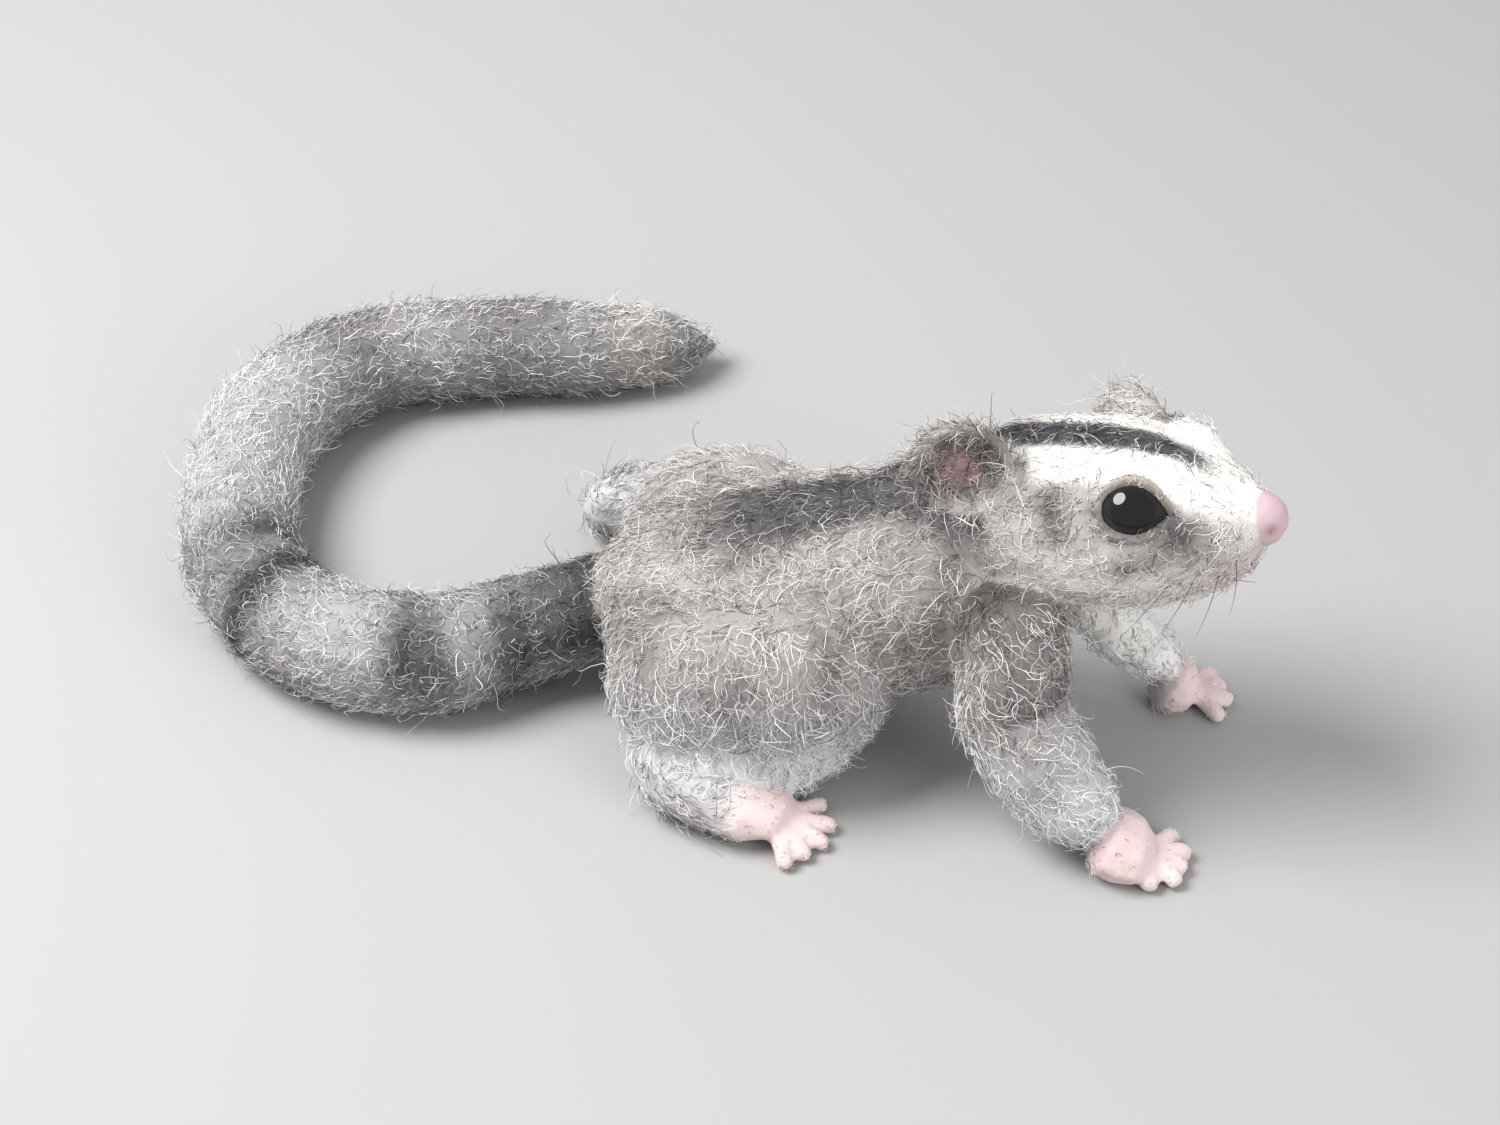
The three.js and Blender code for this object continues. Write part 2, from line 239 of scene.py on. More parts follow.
# Dark patches of the face by length along the head and height: middle, reach and strength
FACE_PATCHES = [
    ((0.49, 0.48), (0.11, 0.32), 1.9),
    ((0.83, 0.16), (0.07, 0.28), 1.6),
    ((0.73, -0.02), (0.12, 0.13), 1.0),
]


def head_colour(points):
    local = on_head(points) / np.array([HEAD_LENGTH, HEAD_WIDTH / 2, HEAD_DEPTH / 2])
    x, y, z = local.T
    outer = fade(np.abs(y), 0.15, 0.45)
    colour = np.tile(SHADES["light_grey"], (len(points), 1))
    colour = blend(colour, SHADES["white"], 0.45 * fade(x, 0.3, 0.5))
    patch = np.clip(0.75 + 0.7 * ripple(points, 1.6 * MM, 31), 0, 1)
    for middle, reach, strength in FACE_PATCHES:
        amount = np.clip(strength * patch * outer * spot(x, z, middle, reach), 0, 0.93)
        colour = blend(colour, SHADES["brown_grey"], amount)
    nape = (1 - fade(x, 0.12, 0.34)) * fade(z, -0.6, 0.3)
    colour = blend(colour, SHADES["brown_grey"], 0.8 * patch * nape)
    colour = blend(colour, SHADES["cream"], 0.45 * outer * spot(x, z, (0.55, -0.5), (0.16, 0.22)))
    colour = blend(colour, SHADES["white"], 0.6 * outer * spot(x, z, (0.5, -0.2), (0.14, 0.28)))
    colour = blend(colour, SHADES["white"], fade(-z, 0.5, 0.85))
    low = 0.72 - 1.4 * np.clip(x - 0.6, 0, 0.3)
    band = between(np.abs(y), 0.14, 0.62, 0.06) * fade(z, low - 0.08, low + 0.08) * fade(x, 0.26, 0.4)
    bridge = fade(x, 0.8, 0.88) * fade(z, 0.1, 0.35) * (1 - fade(np.abs(y), 0.42, 0.58))
    colour = blend(colour, SHADES["white"], (0.93 + 0.07 * patch) * np.maximum(band, bridge))
    chin = fade(x, 0.76, 0.9) * fade(-z, 0.08, 0.32) * (1 - 0.7 * fade(-z, 0.6, 0.8))
    colour = blend(colour, SHADES["mauve"], 0.5 * chin)
    width = 0.17 + 0.04 * ripple(points, 2 * MM, 3) - 0.12 * fade(x, 0.6, 0.84)
    stripe = (1 - fade(np.abs(y), width, width + 0.07)) * fade(z, 0.2, 0.4) * between(x, 0.0, 0.84, 0.04)
    colour = blend(colour, SHADES["slate"], 0.9 * stripe)
    for side in EYE_PLACE:
        margin, distance, height = lid_margin(points, side)
        upper = fade(height, -0.1, 0.25)
        near = 1 - fade(distance, EYE_RADIUS + 0.9 * MM, EYE_RADIUS + 1.6 * MM)
        ring = near * (1 - fade(-margin, 0.7 * MM, 1.3 * MM))
        colour = blend(colour, SHADES["beige" if side == "right" else "white"], 0.8 * ring * upper)
        colour = blend(colour, SHADES["brown_grey"], 0.55 * ring * (1 - upper))
        colour = blend(colour, SHADES["slate"], 0.85 * near * (1 - fade(-margin, 0.0, 0.3 * MM)))
    return colour


CHEST_START = place(26, 0, 0)[0]  # the white of the chest begins here


def trunk_colour(points):
    share, side, _ = along_line(points, "trunk")
    height = points[:, 2]
    colour = np.tile(SHADES["light_grey"], (len(points), 1))
    colour = blend(colour, SHADES["grey"], np.clip(0.3 + 0.6 * ripple(points, 3.5 * MM, 5), 0, 1))
    colour = blend(colour, SHADES["cream"], np.clip(0.6 * ripple(points, 5 * MM, 6), 0, 0.4))
    colour = blend(colour, SHADES["brown_grey"], mottle(points, 41))
    colour = blend(colour, SHADES["white"], 0.6 * (1 - fade(height, 8 * MM, 14 * MM)))
    chest = fade(points[:, 0], CHEST_START, CHEST_START + 5 * MM) * (1 - fade(height, 24 * MM, 30 * MM))
    colour = blend(colour, SHADES["white"], 0.8 * chest)
    edge = (3.4 + 1.0 * ripple(points, 3 * MM, 7)) * MM
    stripe = (1 - fade(np.abs(side), edge, edge + 3 * MM)) * fade(height, 13 * MM, 18 * MM)
    return blend(colour, SHADES["charcoal"], 0.78 * stripe * fade(share, 0.08, 0.4))


def tail_colour(points):
    share, _, _ = along_line(points, "tail")
    top = fade(points[:, 2], 4 * MM, 9 * MM)
    patch = np.clip(0.75 + 0.8 * ripple(points, 3 * MM, 33), 0, 1)
    colour = np.tile(SHADES["light_grey"], (len(points), 1))
    colour = blend(colour, SHADES["grey"], np.clip(0.4 + 0.7 * ripple(points, 4 * MM, 11), 0, 1))
    colour = blend(colour, SHADES["charcoal"], 0.85 * top * patch * (1 - fade(share, 0.03, 0.16)))
    for middle in TAIL_BANDS:
        band = np.exp(-(((share - middle) / TAIL_BAND_REACH) ** 2))
        colour = blend(colour, SHADES["charcoal"], 0.95 * patch * band)
    colour = blend(colour, SHADES["white"], 0.4 * between(share, 0.42, 0.6, 0.05))
    colour = blend(colour, SHADES["brown_grey"], 0.45 * patch * between(share, 0.64, 0.86, 0.04))
    return blend(colour, SHADES["cream"], 0.55 * between(share, 0.90, 0.94, 0.014)) * TAIL_TINT


def leg_colour(points):
    colour = np.tile(SHADES["light_grey"], (len(points), 1))
    colour = blend(colour, SHADES["grey"], np.clip(0.15 + 0.6 * ripple(points, 3.5 * MM, 13), 0, 1))
    colour = blend(colour, SHADES["brown_grey"], mottle(points, 43))
    low = 1 - fade(points[:, 2] + 1.5 * MM * ripple(points, 2.5 * MM, 35), 7 * MM, 19 * MM)
    return blend(colour, SHADES["pale_blue"], 0.9 * low)


def mottle(points, seed):
    """Small uneven patches of darker wool."""
    return np.clip(1.1 * ripple(points, 1.5 * MM, seed) - 0.1, 0, 0.5)


def far_arm_colour(points):
    """The foreleg turned to the chest is nearly white."""
    return blend(leg_colour(points), SHADES["white"], 0.7)


def upper_arm_colour(points):
    colour = leg_colour(points)
    shoulder = fade(points[:, 2], 12 * MM, 20 * MM)
    patch = np.clip(0.65 + 0.6 * ripple(points, 3 * MM, 37), 0, 0.85)
    return blend(colour, SHADES["brown_grey"], shoulder * patch)


def bareness(points, name):
    """How far the paw's pink shows: 0 under the wool of the heel or wrist and 1 at the toes."""
    heel, toes, start, end = PAWS[name]
    heel, toes = (place(x, y, 0)[:2] for x, y in (heel, toes))
    reach = toes - heel
    share = (points[:, :2] - heel) @ reach / (reach @ reach)
    return fade(share, start, end)


HEEL_TINT = 0.7  # the wool of the heels is duller than that of the legs


def paw_colour(points, name):
    colour = np.tile(SHADES["pink"], (len(points), 1))
    colour = blend(colour, SHADES["white"], 0.2 + 0.2 * ripple(points, 1.6 * MM, 17))
    bare = bareness(points, name)
    wool = np.tile(HEEL_TINT * SHADES["pale_blue"], (len(points), 1))
    wool = blend(wool, SHADES["grey"], 0.2 + mottle(points, 45))
    return blend(colour, wool, 0.92 * (1 - bare))


def on_ear(points, side):
    """Points in the ear's own frame: the base is the origin, the tip at +Z and the hollow faces +X."""
    spot_on_head, turn, lean = EARS[side]
    pose = Euler((math.radians(lean), 0, math.radians(turn)), "XYZ").to_matrix()
    return (on_head(points) - np.array(spot_on_head)) @ np.array(pose)


def ear_hollow(points, side):
    local = on_ear(points, side)
    y = local[:, 1] / EAR_RADII[0]
    z = (local[:, 2] - EAR_RADII[1]) / EAR_RADII[1]
    radius = np.sqrt(y**2 + z**2)
    middle = -EAR_MIDDLE_DEPTH * np.sqrt(np.clip(1 - radius**2, 0, 1))
    return fade(local[:, 0] - middle, -0.3 * MM, 0.2 * MM) * (1 - fade(radius, 0.42, 0.72)), y, z


def ear_colour(points, name):
    hollow, y, z = ear_hollow(points, name.split("_")[1])
    colour = np.tile(SHADES["light_grey"], (len(points), 1))
    colour = blend(colour, SHADES["brown_grey"], np.clip(0.35 + 0.6 * ripple(points, 2 * MM, 19), 0, 0.8))
    colour = blend(colour, SHADES["ear_brown"], hollow)
    return blend(colour, SHADES["ear_pink"], 0.85 * hollow * spot(y, z, (0.1, -0.15), (0.28, 0.34)))


def nose_colour(points):
    colour = np.tile(SHADES["pink"] * NOSE_TINT, (len(points), 1))
    for nostril in NOSTRILS:
        distance = np.linalg.norm(on_head(points) - nostril, axis=1)
        colour = blend(colour, SHADES["nostril"], 0.8 * np.exp(-((distance / (0.6 * MM)) ** 2)))
    return colour


def part_colour(points, part):
    if part.startswith("tail"):
        return tail_colour(points)
    if part.startswith(("hindfoot", "forepaw")):
        return paw_colour(points, part)
    if part.startswith("ear"):
        return ear_colour(points, part)
    if part in ("upper_arm_left", "forearm_left"):
        return far_arm_colour(points)
    if part.startswith("upper_arm"):
        return upper_arm_colour(points)
    if part.startswith(("thigh", "shank", "forearm")):
        return leg_colour(points)
    return {"head": head_colour, "nose": nose_colour}.get(part, trunk_colour)(points)


def markings(points, part_index):
    colour = np.zeros((len(points), 3))
    for i, part in enumerate(FLESH):
        chosen = part_index == i
        if chosen.any():
            colour[chosen] = part_colour(points[chosen], part)
    return np.clip(colour, 0, 1)


# By part: how deep the skin lies, fibre length, how far fibres stand out, thickness of the coat, softness
COAT = {
    "head": (0.2, 2.0, 0.15, 2.7, 0.12),
    "nose": (-0.1, 0.5, 0.05, 0.3, 0.0),
    "ear": (0.0, 2.3, 0.36, 3.4, 0.0),
    "neck": (0.3, 3.0, 0.24, 1.5, 1.0),
    "trunk": (0.3, 3.1, 0.2, 1.5, 1.0),
    "thigh": (0.2, 3.0, 0.2, 1.5, 1.0),
    "shank": (0.2, 2.8, 0.22, 1.0, 0.9),
    "upper_arm": (0.2, 2.8, 0.22, 1.5, 0.8),
    "forearm": (0.2, 2.4, 0.2, 1.5, 0.6),
    "hindfoot": (0.0, 2.6, 0.22, 1.7, 0.03),
    "forepaw": (0.0, 2.2, 0.22, 2.0, 0.0),
    "tail": (0.4, 2.1, 0.25, 1.7, 0.25),
}
# Painted shade of the gaps between the fibres: how much darker the felt under them is painted than they
# are
UNDERCOAT_SHADE = {
    "body": 0.5,
    "head": 0.7,
    "nose": 1.0,
    "ear": 0.8,
    "hindfoot": 0.95,
    "forepaw": 0.95,
    "tail": 0.5,
}
BARE_LENGTH = 0.55  # fibres in an ear's hollow, as a share of the part's own
TOE_LENGTH = 0.25  # the same for the toes
SOFTEN_ROUNDS = 110


def coat_of(part):
    return next(values for name, values in COAT.items() if part.startswith(name))


def mesh_arrays(mesh):
    mesh.calc_loop_triangles()
    points = np.empty(len(mesh.vertices) * 3, np.float32)
    mesh.vertices.foreach_get("co", points)
    faces = np.empty(len(mesh.loop_triangles) * 3, np.int32)
    mesh.loop_triangles.foreach_get("vertices", faces)
    return points.reshape(-1, 3).astype(float), faces.reshape(-1, 3)


def new_mesh(name, points, faces):
    mesh = bpy.data.meshes.new(name)
    mesh.from_pydata([], [], [])
    mesh.vertices.add(len(points))
    mesh.vertices.foreach_set("co", np.asarray(points, np.float32).ravel())
    mesh.loops.add(len(faces) * 3)
    mesh.loops.foreach_set("vertex_index", np.asarray(faces, np.int32).ravel())
    mesh.polygons.add(len(faces))
    mesh.polygons.foreach_set("loop_start", np.arange(0, len(faces) * 3, 3, dtype=np.int32))
    mesh.update(calc_edges=True)
    return mesh


def link(name, mesh):
    obj = bpy.data.objects.new(name, mesh)
    bpy.context.scene.collection.objects.link(obj)
    return obj


def apply_modifiers(obj):
    bpy.context.view_layer.update()
    graph = bpy.context.evaluated_depsgraph_get()
    mesh = bpy.data.meshes.new_from_object(obj.evaluated_get(graph))
    obj.modifiers.clear()
    obj.data = mesh


# Skin: the flesh nodes grown over their cuts, joined, smoothed and drawn in by the coat's depth
def grown(node):
    points, faces = mesh_arrays(node.data)
    rounded, index = np.unique(np.round(points, 7), axis=0, return_inverse=True)
    faces = index.reshape(-1)[faces]
    corners = rounded[faces]
    normal = np.cross(corners[:, 1] - corners[:, 0], corners[:, 2] - corners[:, 0])
    total = np.zeros_like(rounded)
    for corner in range(3):
        np.add.at(total, faces[:, corner], normal)
    length = np.linalg.norm(total, axis=1, keepdims=True)
    return rounded + GROW * total / np.maximum(length, 1e-12), faces


def part_trees():
    trees = []
    for name in FLESH:
        points, faces = mesh_arrays(nodes[name].data)
        trees.append(BVHTree.FromPolygons([Vector(p) for p in points], faces.tolist()))
    return trees


def nearest_part(points, trees):
    found = np.full(len(points), 1e9)
    index = np.zeros(len(points), int)
    boxes = [np.array(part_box(name)) for name in FLESH]
    for i, tree in enumerate(trees):
        low, high = boxes[i]
        close = np.all((points > low - 2 * MM) & (points < high + 2 * MM), axis=1)
        for j in np.nonzero(close)[0]:
            distance = tree.find_nearest(Vector(points[j]))[3]
            if distance is not None and distance < found[j]:
                found[j] = distance
                index[j] = i
    return index


# Wool packed into the creases where limbs leave the body: two ends and a radius, in millimetres
FILLERS = [
    ((-9, -27.5, 14.5), (8, -30.5, 16), 6.6),
    ((-8, -11, 14), (8, -14, 15.5), 6.0),
    ((19.5, -31, 23.5), (24, -33.6, 22), 5.6),
    ((26, -24, 22), (31, -23.5, 21), 5.4),
    ((26.5, -41.5, 15.2), (30, -44, 10.6), 5.7),
]
FILLER_STEPS = 9


def fillers():
    sphere = bmesh.new()
    bmesh.ops.create_icosphere(sphere, subdivisions=3, radius=1)
    shape = np.array([v.co for v in sphere.verts])
    faces = np.array([[v.index for v in f.verts] for f in sphere.faces])
    sphere.free()
    for first, last, radius in FILLERS:
        for t in np.linspace(0, 1, FILLER_STEPS):
            centre = place(*first) * (1 - t) + place(*last) * t
            yield centre + shape * radius * MM, faces


def make_skin(trees):
    points, faces, start = [], [], 0
    for part_points, part_faces in fillers():
        points.append(part_points)
        faces.append(part_faces + start)
        start += len(part_points)
    for name in nodes:
        part_points, part_faces = grown(nodes[name])
        points.append(part_points)
        faces.append(part_faces + start)
        start += len(part_points)
    skin = link("felt_skin", new_mesh("felt_skin", np.concatenate(points), np.concatenate(faces)))
    remesh = skin.modifiers.new("join", "REMESH")
    remesh.mode = "VOXEL"
    remesh.voxel_size = VOXEL
    apply_modifiers(skin)
    part = nearest_part(mesh_arrays(skin.data)[0], trees)
    group = skin.vertex_groups.new(name="soft")
    for i, name in enumerate(FLESH):
        chosen = np.nonzero(part == i)[0].tolist()
        group.add(chosen, coat_of(name)[4], "REPLACE")
    even = skin.modifiers.new("even", "SMOOTH")
    even.iterations = 3
    soften = skin.modifiers.new("soften", "SMOOTH")
    soften.iterations = SOFTEN_ROUNDS
    soften.vertex_group = "soft"
    apply_modifiers(skin)
    skin.vertex_groups.clear()
    return skin, part


def vertex_normals(points, faces):
    corners = points[faces]
    normal = np.cross(corners[:, 1] - corners[:, 0], corners[:, 2] - corners[:, 0])
    total = np.zeros_like(points)
    for corner in range(3):
        np.add.at(total, faces[:, corner], normal)
    return total / np.maximum(np.linalg.norm(total, axis=1, keepdims=True), 1e-15)


def smoothed(values, faces, rounds):
    """Values averaged over neighbouring vertices, so that parts run into each other."""
    for _ in range(rounds):
        total = np.zeros_like(values)
        count = np.zeros(len(values))
        for a, b in ((0, 1), (1, 2), (2, 0)):
            np.add.at(total, faces[:, a], values[faces[:, b]])
            np.add.at(total, faces[:, b], values[faces[:, a]])
            np.add.at(count, faces[:, a], 1)
            np.add.at(count, faces[:, b], 1)
        shape = (-1,) + (1,) * (values.ndim - 1)
        values = 0.5 * values + 0.5 * total / count.reshape(shape)
    return values


LID_THICKNESS = 0.42 * MM
FOLD_PLACE = 1.25 * MM
FOLD_DEPTH = 0.4 * MM
POCKET_RADIUS = EYE_RADIUS - 0.9 * MM


def set_lids(points):
    """Lays the skin over the glass as lids with a fold round them, and opens it where the glass shows."""
    local = on_head(points)
    for side, centre in EYE_PLACE.items():
        margin, distance, _ = lid_margin(points, side)
        ray = (local - centre) / distance[:, None]
        facing = fade(ray @ GAZE[side], -0.15, 0.2)
        close = (distance < EYE_RADIUS + 2.4 * MM) * facing
        rim = np.exp(-(((margin + 0.35 * MM) / (0.4 * MM)) ** 2))
        fold = np.exp(-(((margin + FOLD_PLACE) / (0.35 * MM)) ** 2))
        lid = EYE_RADIUS + LID_THICKNESS + 0.22 * MM * rim - FOLD_DEPTH * 0.5 * fold
        covered = np.maximum(distance, lid) - FOLD_DEPTH * 0.5 * fold
        opened = fade(margin, -0.25 * MM, 0.3 * MM)
        wanted = covered * (1 - opened) + POCKET_RADIUS * opened
        shifted = distance + (wanted - distance) * close
        local = centre + ray * shifted[:, None]
    return local @ HEAD_MATRIX[:3, :3].T + HEAD_MATRIX[:3, 3]


def muzzle(points):
    """A shallow mouth line under the nose, and the pads on each side of it."""
    local = on_head(points)
    x, y, z = (local / MM).T
    mouth = np.exp(-(((z + 2.6 - 0.05 * (x - 30) + 0.05 * np.abs(y)) / 0.35) ** 2)) * fade(x, 28, 31)
    cleft = np.exp(-((y / 0.35) ** 2)) * fade(x, 32, 34) * between(z, -2.6, -1.2, 0.3)
    shift = -0.45 * MM * mouth - 0.4 * MM * cleft
    distance = np.linalg.norm(local - NOSE_TIP, axis=1)
    shift += 0.35 * MM * (1 - fade(distance, 2.4 * MM, 3.4 * MM))
    for nostril in NOSTRILS:
        shift -= 0.6 * MM * np.exp(-((np.linalg.norm(local - nostril, axis=1) / (0.5 * MM)) ** 2))
    return shift


def finish_skin(skin, part):
    points, faces = mesh_arrays(skin.data)
    depth = np.array([coat_of(name)[0] for name in FLESH])[part] * MM
    depth = smoothed(depth, faces, 8)
    normal = vertex_normals(points, faces)
    near_ground = 1 - fade(points[:, 2], 0.0, 1.0 * MM)
    shift = -depth * (1 - 0.9 * near_ground) + muzzle(points)
    shift += 0.05 * MM * ripple(points, 1.1 * MM, 23) + 0.04 * MM * ripple(points, 0.5 * MM, 29)
    on_tail = np.array([name.startswith("tail") for name in FLESH])[part]
    shift += 0.35 * MM * on_tail * ripple(points, 2.2 * MM, 39) * (1 - near_ground)
    points = set_lids(points + normal * shift[:, None])
    points[:, 2] = np.maximum(points[:, 2], 0)
    colour = smoothed(markings(points, part), faces, 1)
    # Painted shade of the gaps between the fibres: the felt under them is darkened part by part, less
    # where its wool is pale
    gap_shade = np.array([UNDERCOAT_SHADE.get(name.split("_")[0], UNDERCOAT_SHADE["body"]) for name in FLESH])[part]
    gap_shade = smoothed(gap_shade, faces, 8)
    gap_shade += (1 - gap_shade) * fade(colour.mean(1), 0.6, 0.78)
    colour = colour * gap_shade[:, None]
    skin.data = new_mesh("felt_skin", points, faces)
    skin.data.polygons.foreach_set("use_smooth", np.ones(len(faces), bool))
    paint(skin.data, colour)
    skin.data.materials.append(wool_material("felt", 0.55, 0.00022))
    return points, faces, vertex_normals(points, faces)


def paint(mesh, colour):
    attribute = mesh.color_attributes.new("wool", "FLOAT_COLOR", "POINT")
    values = np.ones((len(colour), 4), np.float32)
    values[:, :3] = colour
    attribute.data.foreach_set("color", values.ravel())


# Materials
def wool_material(name, bump, grain):
    material = bpy.data.materials.new(name)
    material.use_nodes = True
    tree = material.node_tree
    shader = tree.nodes["Principled BSDF"]
    shader.inputs["Roughness"].default_value = 0.95
    shader.inputs["Specular IOR Level"].default_value = 0.15
    colour = tree.nodes.new("ShaderNodeVertexColor")
    colour.layer_name = "wool"
    tree.links.new(colour.outputs["Color"], shader.inputs["Base Color"])
    if bump:
        noise = tree.nodes.new("ShaderNodeTexNoise")
        noise.inputs["Scale"].default_value = 1 / (grain * 6)
        noise.inputs["Detail"].default_value = 4
        place_node = tree.nodes.new("ShaderNodeTexCoord")
        tree.links.new(place_node.outputs["Object"], noise.inputs["Vector"])
        height = tree.nodes.new("ShaderNodeBump")
        height.inputs["Strength"].default_value = bump
        height.inputs["Distance"].default_value = grain
        tree.links.new(noise.outputs["Fac"], height.inputs["Height"])
        tree.links.new(height.outputs["Normal"], shader.inputs["Normal"])
    return material


def plain_material(name, colour, roughness):
    material = bpy.data.materials.new(name)
    material.use_nodes = True
    shader = material.node_tree.nodes["Principled BSDF"]
    shader.inputs["Base Color"].default_value = (*colour, 1)
    shader.inputs["Roughness"].default_value = roughness
    return material


# Coat
def lie_of_coat(points, part):
    """The way the fibres run at each point: back along the body, out along the legs, down the tail."""
    lie = np.zeros((len(points), 3))
    for i, name in enumerate(FLESH):
        chosen = part == i
        if not chosen.any():
            continue
        if name in ("trunk", "neck"):
            lie[chosen] = -along_line(points[chosen], "trunk")[2] + np.array([0, 0, -0.35])
        elif name.startswith("tail"):
            lie[chosen] = along_line(points[chosen], "tail")[2]
        elif name in ("head", "nose") or name.startswith("ear"):
            lie[chosen] = HEAD_MATRIX[:3, :3] @ np.array([-1, 0, -0.1])
        else:
            down = np.array([0, 0, -1.0])
            forward = np.array([0.5, -0.2 if name.endswith("right") else 0.2, 0])
            lie[chosen] = down + (forward if name.startswith(("fore", "upper")) else -0.4 * forward)
            if name.startswith(("hindfoot", "forepaw")):
                lie[chosen] = forward + np.array([0.4, 0, -0.1])
    return lie


def sample_roots(points, faces, normal, part, count, rng):
    corners = points[faces]
    area = np.linalg.norm(np.cross(corners[:, 1] - corners[:, 0], corners[:, 2] - corners[:, 0]), axis=1)
    share = np.array([coat_of(name)[3] for name in FLESH])[part[faces[:, 0]]]
    centre = corners.mean(1)
    for side in EYE_PLACE:
        margin, distance, _ = lid_margin(centre, side)
        share = share * np.where(distance < EYE_RADIUS + 1.6 * MM, 1.8 * fade(-margin, 0.0, 0.35 * MM), 1)
    share = share * (centre[:, 2] > 0.25 * MM)
    chance = area * share
    face = rng.choice(len(faces), size=count, p=chance / chance.sum())
    u, v = rng.random(count), rng.random(count)
    over = u + v > 1
    u[over], v[over] = 1 - u[over], 1 - v[over]
    weight = np.stack([1 - u - v, u, v], 1)[:, :, None]
    root = (corners[face] * weight).sum(1)
    out = (normal[faces[face]] * weight).sum(1)
    out /= np.linalg.norm(out, axis=1, keepdims=True)
    return root, out, part[faces[face, 0]]


def fibre_share(root, part):
    """Fibre length as a share of the part's own: short on the toes, in the ears and by the eyes."""
    share = np.ones(len(root))
    for i, name in enumerate(FLESH):
        chosen = part == i
        if name in PAWS:
            share[chosen] = 1 - (1 - TOE_LENGTH) * bareness(root[chosen], name)
        if name.startswith("ear"):
            share[chosen] = 1 - (1 - BARE_LENGTH) * ear_hollow(root[chosen], name.split("_")[1])[0]
    for side in EYE_PLACE:
        _, distance, _ = lid_margin(root, side)
        share *= 0.5 + 0.5 * fade(distance, EYE_RADIUS + 0.6 * MM, EYE_RADIUS + 2 * MM)
    return share


HUG = 1.15  # how strongly flat fibres bend back to the skin
FLAT_STAND = 0.35  # fibres that stand out less than this are flat
ROOT_DEPTH = 0.12 * MM  # how far the fibres start under the skin
LOOSE_SHARE = 0.04  # of the fibres stand out further and are longer
LOOSE_STAND = 2.3
LOOSE_LENGTH = 1.2
SWAY = 0.75  # how far the fibres stray from the lie of the coat, in radians


def fibre_lines(root, out, part, rng, steps, curliness, reach):
    """The middle line of each fibre: it leaves along the lie, curls over the skin and ends loose."""
    count = len(root)
    lie = lie_of_coat(root, part)
    lie -= out * (lie * out).sum(1, keepdims=True)
    lie /= np.maximum(np.linalg.norm(lie, axis=1, keepdims=True), 1e-9)
    turn = rng.normal(0, SWAY, count)[:, None]
    side = np.cross(out, lie)
    heading = lie * np.cos(turn) + side * np.sin(turn)
    side = np.cross(out, heading)
    table = np.array([coat_of(name)[1:3] for name in FLESH])[part]
    length = reach * table[:, 0] * MM * rng.uniform(0.55, 1.35, count) * fibre_share(root, part)
    stand = table[:, 1] * rng.uniform(0.3, 1.5, count)
    loose = rng.random(count) < LOOSE_SHARE
    stand = np.where(loose, stand * LOOSE_STAND, stand)
    length = np.where(loose, length * LOOSE_LENGTH, length)
    curl = rng.normal(0, curliness, count)
    wave = rng.uniform(0.0, 0.22, count) * length
    phase = rng.uniform(0, 6.28, count)
    lines = []
    position = root - out * ROOT_DEPTH
    for i in range(steps + 1):
        t = i / steps
        angle = curl * t * t
        flat = heading * np.cos(angle)[:, None] + side * np.sin(angle)[:, None]
        lift = stand * (1.35 - 0.75 * t)
        rise = lift - HUG * stand * t * (stand < FLAT_STAND)
        step = flat * (1 - 0.4 * lift)[:, None] + out * rise[:, None]
        wobble = out * (wave * 0.25 * np.sin(phase + 7 * t))[:, None]
        lines.append(position + side * (wave * np.sin(phase + 5 * t))[:, None] + wobble)
        position = position + step * (length / steps)[:, None]
    lines = np.stack(lines, 1)
    lines += root[:, None] - lines[:, :1] - out[:, None] * ROOT_DEPTH
    return lines


def fibre_mesh(lines, width):
    """Closed three-sided strands along the lines, drawn to a point at the tip."""
    count, rings = lines.shape[:2]
    tangent = np.gradient(lines, axis=1)
    tangent /= np.maximum(np.linalg.norm(tangent, axis=2, keepdims=True), 1e-12)
    reference = np.where(np.abs(tangent[..., 2:]) > 0.9, [[[1.0, 0, 0]]], [[[0, 0, 1.0]]])
    across = np.cross(tangent, reference)
    across /= np.maximum(np.linalg.norm(across, axis=2, keepdims=True), 1e-12)
    over = np.cross(tangent, across)
    taper = 1 - 0.75 * np.linspace(0, 1, rings)[None, :, None] ** 2
    radius = width[:, None, None] / 2 * taper
    ring = []
    for i in range(3):
        angle = 2 * math.pi * i / 3
        ring.append(lines + radius * (across * math.cos(angle) + over * math.sin(angle)))
    points = np.stack(ring, 2).reshape(-1, 3)
    faces = []
    for r in range(rings - 1):
        for i in range(3):
            j = (i + 1) % 3
            a, b = r * 3 + i, r * 3 + j
            faces += [(a, b, b + 3), (a, b + 3, a + 3)]
    last = (rings - 1) * 3
    faces += [(0, 2, 1), (last, last + 1, last + 2)]
    pattern = np.array(faces)
    base = (np.arange(count) * rings * 3)[:, None, None]
    return points, (pattern[None] + base).reshape(-1, 3)


BAKE_COLUMNS = 6
BAKE_MARGIN = 0.03  # clear rim of each part's cell on the bake map


